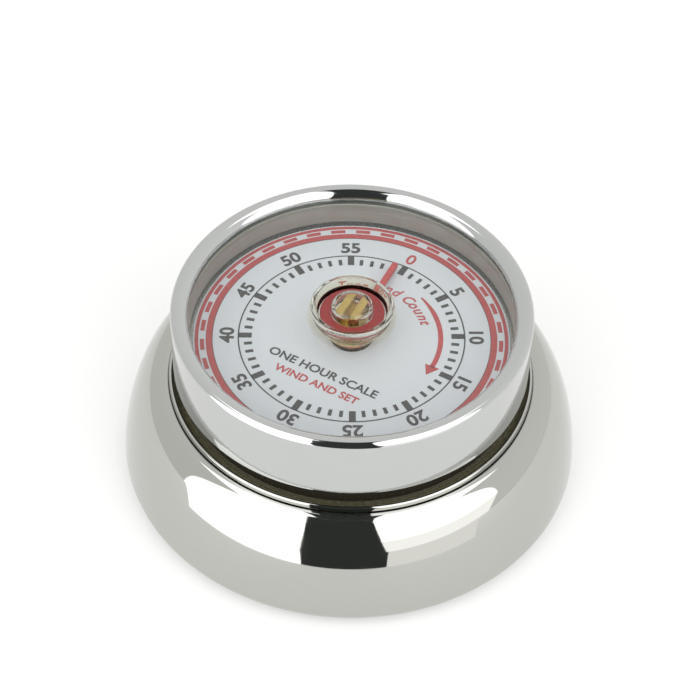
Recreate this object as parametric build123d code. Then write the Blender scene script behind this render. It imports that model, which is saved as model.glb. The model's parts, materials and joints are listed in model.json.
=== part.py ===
"""Magnetic wind-up kitchen timer, 70 mm across and 32 mm high, as the pieces it is assembled from.

Millimetres, +Z up out of the dial, origin at the centre of the underside.  The dial's 0 mark lies
towards +Y.  The chrome head (bezel, lens, pointer, winding arbor) turns as one on the Z axis; the
dial and the movement under it stay with the body.
"""
from build123d import *
import math
import os

# ---- driving dimensions ---------------------------------------------------------------------
BODY_R = 35.0            # widest radius of the body
HEIGHT = 32.0            # underside to the top of the hub's boss
FIT = 0.015              # radial gap of a piece seated on another
PIVOT_GAP = 0.03         # radial gap of a running pivot

# body shell, pressed from sheet
SHEET = 0.7
NECK_R = 27.5
NECK_Z = 18.0
WIDEST_Z = 2.8
FOOT_R = 30.5
DOME_R_POWER = 2.25      # superellipse powers of the dome between its widest line and the neck
DOME_Z_POWER = 1.5
NECK_HOLE_R = 26.6
NECK_SKIRT_Z = 16.6

# head
BEZEL_R = 26.8
BEZEL_WALL_R = 25.8
BEZEL_BOTTOM_Z = 20.8
BEZEL_TOP_Z = 31.4
RIM_INNER_R = 24.2
RIM_ROUND = 0.8          # outer corner of the rim
RIM_ROLL_DEPTH = 1.4     # height of the rim's inner roll, from its crest down to the lens
LENS_TOP_Z = BEZEL_TOP_Z - RIM_ROLL_DEPTH
LENS_BOTTOM_Z = 28.4
LENS_R = 25.7
LENS_RING_BOTTOM_Z = 24.6
HUB_TOP_Z = 31.8
HUB_BASE_Z = 26.1
HUB_TOP_R = 6.25
HUB_BASE_R = 4.1
HUB_WALL = 0.75
HUB_LIP = 0.4            # height of the hub's bevelled rim
HUB_FLOOR_Z = 29.9
BOSS_R = 3.1             # closed boss over the arbor's end, in the middle of the hub's cup
INSERT_R = 4.8           # red ring on the floor of the hub's cup
INSERT_THICK = 0.3
ARBOR_HEAD_R = 2.45
ARBOR_FLAT = 1.75
ARBOR_TOP_Z = 31.2
ARBOR_SLOT_WIDTH = 1.0
ARBOR_SLOT_DEPTH = 0.9
ARBOR_BOTTOM_Z = 11.0
CLIP_GROOVE_R = 1.5
CLIP_Z = 11.42
CLIP_TOP_Z = 11.78
POINTER_Z = 25.0
POINTER_THICK = 0.5
POINTER_HUB_R = 3.3
POINTER_REACH = 16.0
POINTER_WIDTH = 1.0
POINTER_ANGLE = 94.5     # degrees from +X; the run-down pointer stops just short of the 0 mark

# dial and neck drum
DIAL_TOP_Z = 24.3
DIAL_R = 23.7
DIAL_PLATE_R = 25.0
DIAL_PLATE_Z = 23.5
DIAL_PLATE_TOP_Z = 24.0
DIAL_HOLE_R = 3.2
DIAL_FOOT_R = 0.5
DIAL_FOOT_CIRCLE_R = 22.2
DRUM_R = 25.2
DRUM_INNER_R = 24.4
DRUM_SKIRT_R = 28.6      # the outer flange, which bears on the body's skirt
DRUM_SKIRT_THICK = 0.7
DRUM_SHELF_R = 20.0      # the inner flange, which the movement hangs from
DRUM_SHELF_THICK = 0.8

# base, magnet and bell
BASE_R = 30.4
BASE_THICK = 1.6
MAGNET_R = 12.5
MAGNET_THICK = 2.8
KEEPER_R = 14.5
KEEPER_THICK = 0.8
KEEPER_SCREW_CIRCLE_R = 13.55
KEEPER_SCREW_R = 0.45
KEEPER_SCREW_HEAD_R = 0.9
CASE_BOSS_R = 2.2
CASE_SCREW_CIRCLE_R = 21.8
CASE_SCREW_R = 0.9
CASE_SCREW_HEAD_R = 1.8
CASE_SCREW_HEAD_Z = 0.2
CASE_SCREW_WELL_R = 2.0
CASE_SCREW_WELL = 1.1
SCREW_SLOT = 0.4
BELL_R = 18.5
BELL_WALL = 0.8
BELL_FLOOR_Z = 5.0
BELL_RIM_Z = 10.8
BELL_CORNER = 3.0
BELL_SCREW_R = 1.0
BELL_POST_R = 2.4
BELL_SCREW_HEAD_R = 2.2

# movement plates
PLATE_R = 23.9
PLATE_THICK = 0.8
REAR_PLATE_Z = 12.0
FRONT_PLATE_Z = 20.4
PILLAR_CIRCLE_R = 21.5
PILLAR_R = 1.2
PILLAR_HOLE_R = 0.85
PILLAR_TAP_R = 0.75
PILLAR_SCREW_R = 0.73
PILLAR_SCREW_HEAD_R = 1.5
PILLAR_SCREW_HEAD = 0.9
BUSH_R = 3.4
BUSH_FLANGE_R = 4.2
BUSH_FLANGE = 0.3
SPRING_POST_R = 0.7
SPRING_Z = 21.8
SPRING_WIDTH = 1.3

# gear train: three stages of 60 teeth driving 10 leaves
WHEEL_TEETH = 60
PINION_LEAVES = 10
PRESSURE_ANGLE = math.radians(25)
ADDENDUM = 0.8           # stub teeth, in modules
DEDENDUM = 1.05
BACKLASH = 0.16          # of one tooth thickness
MAIN_MODULE = 0.35
SECOND_MODULE = 0.30
THIRD_MODULE = 0.25
MAIN_WHEEL_Z = 14.0
SECOND_WHEEL_Z = 16.0
THIRD_WHEEL_Z = 17.6
ESCAPE_WHEEL_Z = 16.1
MAIN_WHEEL_THICK = 0.9
SECOND_WHEEL_THICK = 0.6
THIRD_WHEEL_THICK = 0.5
ESCAPE_WHEEL_THICK = 0.5
TOOTHED_HUB_R = 3.4
MAIN_ARBOR_R = 2.0
SECOND_ARBOR_R = 0.8
THIRD_ARBOR_R = 0.7
ESCAPE_ARBOR_R = 0.55
PIVOT_R = 0.35
END_SHAKE = 0.15         # from an arbor's shoulder to the plate
SECOND_TO_THIRD = 118.08
THIRD_TO_ESCAPE = 160.0

# ratchet and click
RATCHET_TEETH = 12
RATCHET_TIP_R = 4.0
RATCHET_ROOT_R = 3.2
RATCHET_Z = 15.0
RATCHET_THICK = 0.6
CLICK_CIRCLE_R = 7.6
CLICK_ANGLE = 66.0
CLICK_STUD_R = 0.6

# escapement
ESCAPE_TEETH = 15
ESCAPE_TIP_R = 4.0
ESCAPE_ROOT_R = 3.0
PALLET_REACH = 3.6
PALLET_PIN_R = 0.2
PALLET_TIP_GAP = 0.1     # from the pins to the tooth tips with the anchor at its middle
ANCHOR_Z = 16.9
ANCHOR_THICK = 0.5
ANCHOR_BEARING = 170.0
BALANCE_R = 4.4
BALANCE_Z = 19.0
BALANCE_THICK = 0.8

# hammer
HAMMER_ANGLE = 200.0
HAMMER_CIRCLE_R = 13.0
HAMMER_HEAD_ANGLE = 150.0
HAMMER_HEAD_CIRCLE_R = 16.0
HAMMER_ARBOR_R = 0.6
HAMMER_ARM_Z = 11.1
HAMMER_ARM_TOP_Z = 11.7
HAMMER_TAIL_Z = 13.2
HAMMER_TAIL_TOP_Z = 13.8
HAMMER_TAIL_REACH = 3.8
HAMMER_HEAD_R = 1.3
HAMMER_HEAD_LENGTH = 3.5
STRIKE_CIRCLE_R = 9.4
STRIKE_PIN_R = 0.3
STOP_PIN_R = 0.6


def polar(radius, degrees, centre=(0.0, 0.0)):
    """The point at an angle from +X about a centre."""
    turn = math.radians(degrees)
    return (centre[0] + radius * math.cos(turn), centre[1] + radius * math.sin(turn))


def bearing(start, end):
    """The angle in degrees of the line from one point to another."""
    return math.degrees(math.atan2(end[1] - start[1], end[0] - start[0]))


def gear_distance(module):
    """Centre distance of a wheel and the pinion it drives."""
    return module * (WHEEL_TEETH + PINION_LEAVES) / 2


# ---- arbor positions ------------------------------------------------------------------------
CENTRE = (0.0, 0.0)
SECOND_AT = (gear_distance(MAIN_MODULE), 0.0)
THIRD_AT = polar(gear_distance(SECOND_MODULE), SECOND_TO_THIRD, SECOND_AT)
ESCAPE_AT = polar(gear_distance(THIRD_MODULE), THIRD_TO_ESCAPE, THIRD_AT)
HAMMER_AT = polar(HAMMER_CIRCLE_R, HAMMER_ANGLE)
HAMMER_HEAD_AT = polar(HAMMER_HEAD_CIRCLE_R, HAMMER_HEAD_ANGLE)

PALLET_HALF_SPAN = math.radians(42.0)
PALLET_CIRCLE_R = ESCAPE_TIP_R + PALLET_PIN_R + PALLET_TIP_GAP
PALLET_SIDE = PALLET_CIRCLE_R * math.sin(PALLET_HALF_SPAN)
ANCHOR_DISTANCE = (PALLET_CIRCLE_R * math.cos(PALLET_HALF_SPAN)
                   + math.sqrt(PALLET_REACH ** 2 - PALLET_SIDE ** 2))
ANCHOR_AT = polar(ANCHOR_DISTANCE, ANCHOR_BEARING, ESCAPE_AT)


# ---- shapes shared by several pieces --------------------------------------------------------
BASE = (Align.CENTER, Align.CENTER, Align.MIN)


def disc(radius, bottom, top, at=CENTRE):
    """A round solid between two heights."""
    return Pos(at[0], at[1], bottom) * Cylinder(radius, top - bottom, align=BASE)


def hole(radius, bottom, top, at=CENTRE):
    """The tool of a round through hole, which stands out 1 mm at both ends."""
    return disc(radius, bottom - 1, top + 1, at)


def ring(outer, inner, bottom, top, at=CENTRE):
    """A disc with a round hole."""
    return disc(outer, bottom, top, at) - hole(inner, bottom, top, at)


def bar(start, end, width, bottom, top):
    """A flat bar with round ends, from one point to another."""
    length = math.dist(start, end)
    middle = ((start[0] + end[0]) / 2, (start[1] + end[1]) / 2)
    web = Box(length, width, top - bottom, align=BASE)
    web = Pos(middle[0], middle[1], bottom) * Rot(0, 0, bearing(start, end)) * web
    return web + disc(width / 2, bottom, top, start) + disc(width / 2, bottom, top, end)


def turned(*edges):
    """A closed outline of radius and height, turned about Z."""
    outline = Wire(list(edges))
    return revolve(Plane.XZ * make_face(outline), Axis.Z)


def double_d(radius, flat, bottom, top):
    """A round bar with two flats along the pointer."""
    slab = Box(4 * radius, 2 * flat, top - bottom, align=BASE)
    return disc(radius, bottom, top) & (Pos(0, 0, bottom) * Rot(0, 0, POINTER_ANGLE) * slab)


def involute(angle):
    """The involute function of a pressure angle in radians."""
    return math.tan(angle) - angle


def half_thickness(teeth, module, radius):
    """Half the angle that a tooth covers at a radius."""
    base_radius = module * teeth / 2 * math.cos(PRESSURE_ANGLE)
    local = math.acos(min(1.0, base_radius / radius))
    at_pitch = math.pi / 2 * (1 - BACKLASH) / teeth
    return at_pitch + involute(PRESSURE_ANGLE) - involute(local)


def gear(teeth, module, phase, bottom, top, at):
    """A spur gear with a tooth centred at the phase angle, in degrees."""
    pitch_radius = module * teeth / 2
    root = pitch_radius - DEDENDUM * module
    tip = pitch_radius + ADDENDUM * module
    flank = [root, max(root, pitch_radius * math.cos(PRESSURE_ANGLE)), pitch_radius, tip]
    if flank[1] == flank[0]:
        flank = flank[1:]
    outline = []
    for tooth in range(teeth):
        middle = phase + tooth * 360 / teeth
        half = [math.degrees(half_thickness(teeth, module, radius)) for radius in flank]
        outline += [polar(radius, middle - turn) for radius, turn in zip(flank, half)]
        outline += [polar(radius, middle + turn) for radius, turn in zip(flank[::-1], half[::-1])]
    blank = extrude(make_face(Polyline(*outline, close=True)), top - bottom)
    return Pos(at[0], at[1], bottom) * blank


def meshing_phase(teeth, phase, line, other_teeth):
    """The phase of a gear that meshes with one whose tooth phase is known.

    line is the angle from the known gear's centre to the other's.
    """
    return line + 180 - (phase - line) * teeth / other_teeth + 180 / other_teeth


def wheel(module, phase, bottom, thickness, at, bore, windows):
    """A train wheel with round lightening holes."""
    blank = gear(WHEEL_TEETH, module, phase, bottom, bottom + thickness, at)
    blank -= hole(bore + FIT, bottom, bottom + thickness, at)
    pitch_radius = module * WHEEL_TEETH / 2
    for index in range(windows):
        spot = polar(pitch_radius * 0.56, index * 360 / windows + 30, at)
        blank -= hole(pitch_radius * 0.2, bottom, bottom + thickness, spot)
    return blank


def pinion(module, phase, bottom, top, at, bore):
    """A train pinion on its arbor."""
    blank = gear(PINION_LEAVES, module, phase, bottom, top, at)
    return blank - hole(bore + FIT, bottom, top, at)


def arbor(at, radius):
    """A train arbor between the plates, with a pivot at each end."""
    low = REAR_PLATE_Z + PLATE_THICK + END_SHAKE
    high = FRONT_PLATE_Z - END_SHAKE
    shaft = disc(radius, low, high, at)
    return shaft + disc(PIVOT_R, REAR_PLATE_Z, FRONT_PLATE_Z + PLATE_THICK, at)


MAIN_PHASE = 0.0
SECOND_PINION_PHASE = meshing_phase(WHEEL_TEETH, MAIN_PHASE, bearing(CENTRE, SECOND_AT), PINION_LEAVES)
SECOND_PHASE = 0.0
THIRD_PINION_PHASE = meshing_phase(WHEEL_TEETH, SECOND_PHASE, bearing(SECOND_AT, THIRD_AT), PINION_LEAVES)
THIRD_PHASE = 0.0
ESCAPE_PINION_PHASE = meshing_phase(WHEEL_TEETH, THIRD_PHASE, bearing(THIRD_AT, ESCAPE_AT), PINION_LEAVES)


# ---- case -----------------------------------------------------------------------------------
def dome_points(inset, count=13):
    """Points of the dome from its widest line up to the neck, on a face set in by a thickness."""
    points = []
    for step in range(count):
        turn = math.pi / 2 * step / (count - 1)
        across = abs(math.cos(turn)) ** (2 / DOME_R_POWER)
        up = abs(math.sin(turn)) ** (2 / DOME_Z_POWER)
        radius = NECK_R + (BODY_R - inset - NECK_R) * across
        points.append((radius, WIDEST_Z + (NECK_Z - inset - WIDEST_Z) * up))
    return points


def body_shell():
    """The pressed chrome body, open below, with a turned-down skirt round the neck hole."""
    outer = dome_points(0)
    inner = dome_points(SHEET)
    foot = (FOOT_R, 0)
    foot_inner = (FOOT_R, SHEET)
    foot_centre = (FOOT_R, WIDEST_Z)
    inner_reach = BODY_R - SHEET - FOOT_R
    skirt_r = NECK_HOLE_R + SHEET
    lip_top = NECK_Z + 0.4
    return turned(
        EllipticalCenterArc(foot_centre, BODY_R - FOOT_R, WIDEST_Z, start_angle=270, arc_size=90),
        Spline(*outer, tangents=[(0, 1), (-1, 0)]),
        Line(outer[-1], (skirt_r + 0.1, lip_top)),
        ThreePointArc((skirt_r + 0.1, lip_top), (NECK_HOLE_R + 0.3, lip_top + 0.08), (NECK_HOLE_R, NECK_Z)),
        Line((NECK_HOLE_R, NECK_Z), (NECK_HOLE_R, NECK_SKIRT_Z)),
        Line((NECK_HOLE_R, NECK_SKIRT_Z), (skirt_r, NECK_SKIRT_Z)),
        Line((skirt_r, NECK_SKIRT_Z), (skirt_r, inner[-1][1])),
        Line((skirt_r, inner[-1][1]), inner[-1]),
        Spline(*inner[::-1], tangents=[(1, 0), (0, -1)]),
        EllipticalCenterArc(foot_centre, inner_reach, WIDEST_Z - SHEET, start_angle=270, arc_size=90),
        Line(foot_inner, foot),
    )


def neck_drum():
    """The dark drum in the neck: it carries the dial, and the movement hangs from its inner flange."""
    drum = ring(DRUM_R, DRUM_INNER_R, NECK_SKIRT_Z, DIAL_PLATE_Z)
    drum += ring(DRUM_SKIRT_R, DRUM_INNER_R, NECK_SKIRT_Z - DRUM_SKIRT_THICK, NECK_SKIRT_Z)
    shelf_z = FRONT_PLATE_Z + PLATE_THICK
    shelf_top = shelf_z + DRUM_SHELF_THICK
    drum += ring(DRUM_INNER_R + 0.2, DRUM_SHELF_R, shelf_z, shelf_top)
    for spot in pillar_spots():
        drum -= hole(PILLAR_HOLE_R, shelf_z, shelf_top, spot)
    for spot in dial_foot_spots():
        drum -= hole(DIAL_FOOT_R + 0.05, shelf_z, shelf_top, spot)
    return drum


def base_plate():
    """The black moulded back, with the magnet's seat and four bosses up to the movement."""
    plate = disc(BASE_R, 0, BASE_THICK)
    plate += ring(BASE_R + 0.8, BASE_R - 1, SHEET + 0.1, BASE_THICK)
    plate += ring(KEEPER_R, MAGNET_R + 0.1, BASE_THICK - 1, MAGNET_THICK)
    plate -= disc(MAGNET_R + 0.1, -1, MAGNET_THICK + 1)
    for spot in case_screw_spots():
        plate += disc(CASE_BOSS_R, BASE_THICK - 0.5, REAR_PLATE_Z, spot)
    for spot in case_screw_spots():
        plate -= hole(CASE_SCREW_R + 0.2, 0, REAR_PLATE_Z, spot)
        plate -= disc(CASE_SCREW_WELL_R, -1, CASE_SCREW_WELL, spot)
    for spot in keeper_screw_spots():
        plate -= disc(KEEPER_SCREW_R + 0.05, 1.0, MAGNET_THICK + 1, spot)
    return plate


def case_screw_spots():
    """Centres of the four case screws."""
    return [polar(CASE_SCREW_CIRCLE_R, turn) for turn in range(0, 360, 90)]


def pillar_spots():
    """Centres of the four movement pillars."""
    return [polar(PILLAR_CIRCLE_R, turn) for turn in range(45, 360, 90)]


def dial_foot_spots():
    """Centres of the dial plate's two feet."""
    return [polar(DIAL_FOOT_CIRCLE_R, turn) for turn in (20, 200)]


def keeper_screw_spots():
    """Centres of the three keeper screws."""
    return [polar(KEEPER_SCREW_CIRCLE_R, turn) for turn in (30, 150, 270)]


def screw(at, head_r, head_z, head_top, shank_r, shank_z, shank_top):
    """A screw with a slotted round head; the slot is on the side away from the shank."""
    body = disc(head_r, head_z, head_top, at) + disc(shank_r, shank_z, shank_top, at)
    slot_depth = (head_top - head_z) * 0.45
    slot_z = head_top - slot_depth / 2 if shank_z < head_z else head_z + slot_depth / 2
    return body - Pos(at[0], at[1], slot_z) * Box(3 * head_r, SCREW_SLOT, slot_depth)


def group(solids):
    """Identical fasteners as one node of separate solids."""
    return Compound(children=list(solids))


def base_screws():
    """Four long screws from the back into the rear movement plate."""
    head = (CASE_SCREW_HEAD_R, CASE_SCREW_HEAD_Z, CASE_SCREW_WELL)
    shank = (CASE_SCREW_R, CASE_SCREW_WELL, REAR_PLATE_Z + PLATE_THICK)
    return group(screw(spot, *head, *shank) for spot in case_screw_spots())


def magnet():
    """The ferrite disc that holds the timer to a steel door."""
    return disc(MAGNET_R, 0, MAGNET_THICK)


def magnet_keeper():
    """The steel disc behind the magnet, which also carries the bell post."""
    plate = ring(KEEPER_R, BELL_SCREW_R, MAGNET_THICK, MAGNET_THICK + KEEPER_THICK)
    for spot in keeper_screw_spots():
        plate -= hole(KEEPER_SCREW_R + 0.1, MAGNET_THICK, MAGNET_THICK + KEEPER_THICK, spot)
    return plate


def keeper_screws():
    """Three small screws that clamp the keeper over the magnet."""
    top = MAGNET_THICK + KEEPER_THICK
    head = (KEEPER_SCREW_HEAD_R, top, top + 0.5)
    shank = (KEEPER_SCREW_R, 1.2, top)
    return group(screw(spot, *head, *shank) for spot in keeper_screw_spots())


# ---- bell -----------------------------------------------------------------------------------
def bell_post():
    """The post between the keeper and the bell."""
    return ring(BELL_POST_R, BELL_SCREW_R + FIT, MAGNET_THICK + KEEPER_THICK, BELL_FLOOR_Z)


def bell():
    """The spun steel bell, a cup that opens towards the movement."""
    corner = BELL_CORNER
    bore = BELL_SCREW_R + FIT
    inner = BELL_R - BELL_WALL
    floor_top = BELL_FLOOR_Z + BELL_WALL
    bend = math.sqrt(0.5)
    low_mid = (BELL_R - corner + corner * bend, BELL_FLOOR_Z + corner - corner * bend)
    small = corner - BELL_WALL
    top_mid = (inner - small + small * bend, floor_top + small - small * bend)
    return turned(
        Line((bore, BELL_FLOOR_Z), (BELL_R - corner, BELL_FLOOR_Z)),
        ThreePointArc((BELL_R - corner, BELL_FLOOR_Z), low_mid, (BELL_R, BELL_FLOOR_Z + corner)),
        Line((BELL_R, BELL_FLOOR_Z + corner), (BELL_R, BELL_RIM_Z)),
        Line((BELL_R, BELL_RIM_Z), (inner, BELL_RIM_Z)),
        Line((inner, BELL_RIM_Z), (inner, floor_top + small)),
        ThreePointArc((inner, floor_top + small), top_mid, (inner - small, floor_top)),
        Line((inner - small, floor_top), (bore, floor_top)),
        Line((bore, floor_top), (bore, BELL_FLOOR_Z)),
    )


def bell_screw():
    """The screw through the bell into its post."""
    top = BELL_FLOOR_Z + BELL_WALL
    return screw(CENTRE, BELL_SCREW_HEAD_R, top, top + 1.0, BELL_SCREW_R, MAGNET_THICK + 0.1, top)


# ---- movement frame -------------------------------------------------------------------------
def train_arbors():
    """Centres of every arbor that runs on small pivots."""
    return [SECOND_AT, THIRD_AT, ESCAPE_AT, ANCHOR_AT]


def movement_plate(bottom):
    """A plate with the pivot holes, the bush hole and the pillar holes."""
    top = bottom + PLATE_THICK
    plate = disc(PLATE_R, bottom, top)
    for spot in train_arbors():
        plate -= hole(PIVOT_R + PIVOT_GAP, bottom, top, spot)
    plate -= hole(BUSH_R + FIT, bottom, top)
    for spot in pillar_spots():
        plate -= hole(PILLAR_HOLE_R, bottom, top, spot)
    return plate


def rear_plate():
    """The plate nearest the bell."""
    top = REAR_PLATE_Z + PLATE_THICK
    plate = movement_plate(REAR_PLATE_Z)
    for spot in case_screw_spots():
        plate -= hole(CASE_SCREW_R + FIT, REAR_PLATE_Z, top, spot)
    plate -= hole(HAMMER_ARBOR_R + PIVOT_GAP, REAR_PLATE_Z, top, HAMMER_AT)
    return plate - hole(STOP_PIN_R + FIT, REAR_PLATE_Z, top, hammer_stop_spot())


def front_plate():
    """The plate under the dial, with the mainspring's post hole."""
    top = FRONT_PLATE_Z + PLATE_THICK
    plate = movement_plate(FRONT_PLATE_Z)
    plate -= hole(PIVOT_R + PIVOT_GAP, FRONT_PLATE_Z, top, HAMMER_AT)
    return plate - hole(SPRING_POST_R + FIT, FRONT_PLATE_Z, top, spring_post_spot())


def pillars():
    """Four turned pillars that hold the plates apart, tapped at both ends."""
    low = REAR_PLATE_Z + PLATE_THICK
    tapped = 2.0
    solids = []
    for spot in pillar_spots():
        post = disc(PILLAR_R, low, FRONT_PLATE_Z, spot)
        post -= disc(PILLAR_TAP_R, low - 1, low + tapped, spot)
        post -= disc(PILLAR_TAP_R, FRONT_PLATE_Z - tapped, FRONT_PLATE_Z + 1, spot)
        solids.append(post)
    return group(solids)


def front_pillar_screws():
    """Four screws through the drum's flange and the front plate into the pillars."""
    top = FRONT_PLATE_Z + PLATE_THICK + DRUM_SHELF_THICK
    head = (PILLAR_SCREW_HEAD_R, top, top + PILLAR_SCREW_HEAD)
    shank = (PILLAR_SCREW_R, FRONT_PLATE_Z - 1.8, top)
    return group(screw(spot, *head, *shank) for spot in pillar_spots())


def rear_pillar_screws():
    """Four screws through the rear plate into the pillars."""
    low = REAR_PLATE_Z
    head = (PILLAR_SCREW_HEAD_R, low - PILLAR_SCREW_HEAD, low)
    shank = (PILLAR_SCREW_R, low, low + 2.6)
    return group(screw(spot, *head, *shank) for spot in pillar_spots())


def bush(bottom):
    """A brass bush for the winding arbor, pressed into a plate, with a flange on the plate's upper side."""
    top = bottom + PLATE_THICK
    bore = MAIN_ARBOR_R + PIVOT_GAP
    return ring(BUSH_R, bore, bottom, top) + ring(BUSH_FLANGE_R, bore, top, top + BUSH_FLANGE)


def front_bush():
    """The winding arbor's upper bush."""
    return bush(FRONT_PLATE_Z)


def rear_bush():
    """The winding arbor's lower bush."""
    return bush(REAR_PLATE_Z)


def spring_post_spot():
    """Centre of the post that holds the mainspring's outer end."""
    return polar(11.6, 300)


def spring_post():
    """The riveted post that holds the mainspring's outer end."""
    top = DIAL_PLATE_Z - 0.3
    return disc(SPRING_POST_R, FRONT_PLATE_Z, top, spring_post_spot())


def mainspring():
    """The coiled steel mainspring between the front plate and the dial."""
    turns = 8
    inner = 2.7
    pitch = 0.98
    strip = 0.3
    steps = 12
    start = 300
    count = turns * steps + 1
    angles = [start + 360 * index / steps for index in range(count)]
    radii = [inner + pitch * index / steps for index in range(count)]
    inside = [polar(radius, turn) for radius, turn in zip(radii, angles)]
    outside = [polar(radius + strip, turn) for radius, turn in zip(radii, angles)]
    near = Spline(*inside)
    far = Spline(*outside[::-1])
    outline = Wire([near, Line(inside[-1], outside[-1]), far, Line(outside[0], inside[0])])
    return Pos(0, 0, SPRING_Z) * extrude(make_face(outline), SPRING_WIDTH)


# ---- dial -----------------------------------------------------------------------------------
def dial_plate():
    """The steel dial plate on the drum, with two feet through the drum's flange."""
    plate = ring(DIAL_PLATE_R, DIAL_HOLE_R, DIAL_PLATE_Z, DIAL_PLATE_TOP_Z)
    for spot in dial_foot_spots():
        plate += disc(DIAL_FOOT_R, FRONT_PLATE_Z + PLATE_THICK + 0.1, DIAL_PLATE_Z + 0.2, spot)
    return plate


def dial_face():
    """The white dial with its round hole for the arbor."""
    return ring(DIAL_R, DIAL_HOLE_R, DIAL_PLATE_TOP_Z, DIAL_TOP_Z)


# ---- head -----------------------------------------------------------------------------------
def bezel():
    """The chrome bezel: a straight wall, a small outer corner and a wide roll down to the lens."""
    crest_r = BEZEL_R - RIM_ROUND
    roll_r = crest_r - RIM_INNER_R
    bend = math.sqrt(0.5)
    corner_mid = (crest_r + RIM_ROUND * bend, BEZEL_TOP_Z - RIM_ROUND + RIM_ROUND * bend)
    edge = 0.25
    return turned(
        Line((BEZEL_WALL_R, BEZEL_BOTTOM_Z), (BEZEL_R - edge, BEZEL_BOTTOM_Z)),
        Line((BEZEL_R - edge, BEZEL_BOTTOM_Z), (BEZEL_R, BEZEL_BOTTOM_Z + edge)),
        Line((BEZEL_R, BEZEL_BOTTOM_Z + edge), (BEZEL_R, BEZEL_TOP_Z - RIM_ROUND)),
        ThreePointArc((BEZEL_R, BEZEL_TOP_Z - RIM_ROUND), corner_mid, (crest_r, BEZEL_TOP_Z)),
        EllipticalCenterArc((crest_r, LENS_TOP_Z), roll_r, RIM_ROLL_DEPTH, start_angle=90, arc_size=90),
        Line((RIM_INNER_R, LENS_TOP_Z), (BEZEL_WALL_R, LENS_TOP_Z)),
        Line((BEZEL_WALL_R, LENS_TOP_Z), (BEZEL_WALL_R, BEZEL_BOTTOM_Z)),
    )


def lens():
    """The clear lens, moulded in one with the cup-shaped hub that grips the arbor."""
    lip = HUB_TOP_Z - HUB_LIP
    bore = 1.0
    boss_edge = 0.6

    def hub_radius(height):
        return HUB_BASE_R + (HUB_TOP_R - HUB_BASE_R) * (height - HUB_BASE_Z) / (lip - HUB_BASE_Z)

    corners = [
        (bore, HUB_BASE_Z),
        (HUB_BASE_R, HUB_BASE_Z),
        (hub_radius(LENS_BOTTOM_Z), LENS_BOTTOM_Z),
        (LENS_R, LENS_BOTTOM_Z),
        (LENS_R, LENS_TOP_Z),
        (hub_radius(LENS_TOP_Z), LENS_TOP_Z),
        (HUB_TOP_R, lip),
        (HUB_TOP_R - 0.2, HUB_TOP_Z),
        (HUB_TOP_R - HUB_WALL + 0.1, HUB_TOP_Z),
        (hub_radius(HUB_FLOOR_Z) - HUB_WALL, HUB_FLOOR_Z),
        (BOSS_R, HUB_FLOOR_Z),
        (BOSS_R, HEIGHT - boss_edge),
        (BOSS_R - boss_edge, HEIGHT),
        (bore, HEIGHT),
    ]
    hub = turned(*Polyline(*corners, close=True).edges()) + disc(bore, HUB_BASE_Z, HEIGHT)
    return hub - double_d(ARBOR_HEAD_R + FIT, ARBOR_FLAT + FIT, HUB_BASE_Z - 1, ARBOR_TOP_Z + PIVOT_GAP)


def hub_insert():
    """The red ring on the floor of the hub's cup, round the boss."""
    return ring(INSERT_R, BOSS_R + FIT, HUB_FLOOR_Z, HUB_FLOOR_Z + INSERT_THICK)


def lens_ring():
    """The brushed ring inside the bezel that holds the lens up against the rim."""
    return ring(BEZEL_WALL_R - FIT, RIM_INNER_R, LENS_RING_BOTTOM_Z, LENS_BOTTOM_Z)


def pointer():
    """The red pointer: a disc under the hub with one arm over the dial."""
    tip = polar(POINTER_REACH - POINTER_WIDTH / 2, POINTER_ANGLE)
    top = POINTER_Z + POINTER_THICK
    hand = disc(POINTER_HUB_R, POINTER_Z, top) + bar(CENTRE, tip, POINTER_WIDTH, POINTER_Z, top)
    return hand - double_d(ARBOR_HEAD_R + FIT, ARBOR_FLAT + FIT, POINTER_Z - 1, top + 1)


def main_arbor():
    """The brass winding arbor, double-D and slotted at its top."""
    shaft = disc(MAIN_ARBOR_R, ARBOR_BOTTOM_Z, POINTER_Z)
    shaft += double_d(ARBOR_HEAD_R, ARBOR_FLAT, POINTER_Z - 0.2, ARBOR_TOP_Z)
    slot = Box(3 * ARBOR_HEAD_R, ARBOR_SLOT_WIDTH, 2 * ARBOR_SLOT_DEPTH)
    shaft -= Pos(0, 0, ARBOR_TOP_Z) * Rot(0, 0, POINTER_ANGLE) * slot
    return shaft - ring(MAIN_ARBOR_R + 1, CLIP_GROOVE_R, CLIP_Z - 0.02, CLIP_TOP_Z + 0.02)


def arbor_clip():
    """The C-clip in the arbor's groove, under the rear plate."""
    clip = ring(3.2, CLIP_GROOVE_R + FIT, CLIP_Z, CLIP_TOP_Z)
    mouth = Box(6, 2.2, 2)
    return clip - Pos(3, 0, CLIP_Z) * mouth


def main_wheel():
    """The main wheel, on the winding arbor."""
    top = MAIN_WHEEL_Z + MAIN_WHEEL_THICK
    blank = wheel(MAIN_MODULE, MAIN_PHASE, MAIN_WHEEL_Z, MAIN_WHEEL_THICK, CENTRE, MAIN_ARBOR_R, 5)
    blank += ring(TOOTHED_HUB_R, MAIN_ARBOR_R + FIT, MAIN_WHEEL_Z - 0.8, MAIN_WHEEL_Z)
    blank -= hole(STRIKE_PIN_R + FIT, MAIN_WHEEL_Z, top, strike_pin_spot())
    return blank - hole(CLICK_STUD_R + FIT, MAIN_WHEEL_Z, top, click_spot())


def strike_pin_spot():
    """The strike pin at rest, just past the hammer's tail in the running direction."""
    return polar(STRIKE_CIRCLE_R, HAMMER_ANGLE + 7.7)


def strike_pin():
    """The pin under the main wheel that cocks the hammer once a turn."""
    return disc(STRIKE_PIN_R, HAMMER_TAIL_Z - 0.05, MAIN_WHEEL_Z + MAIN_WHEEL_THICK, strike_pin_spot())


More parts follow.
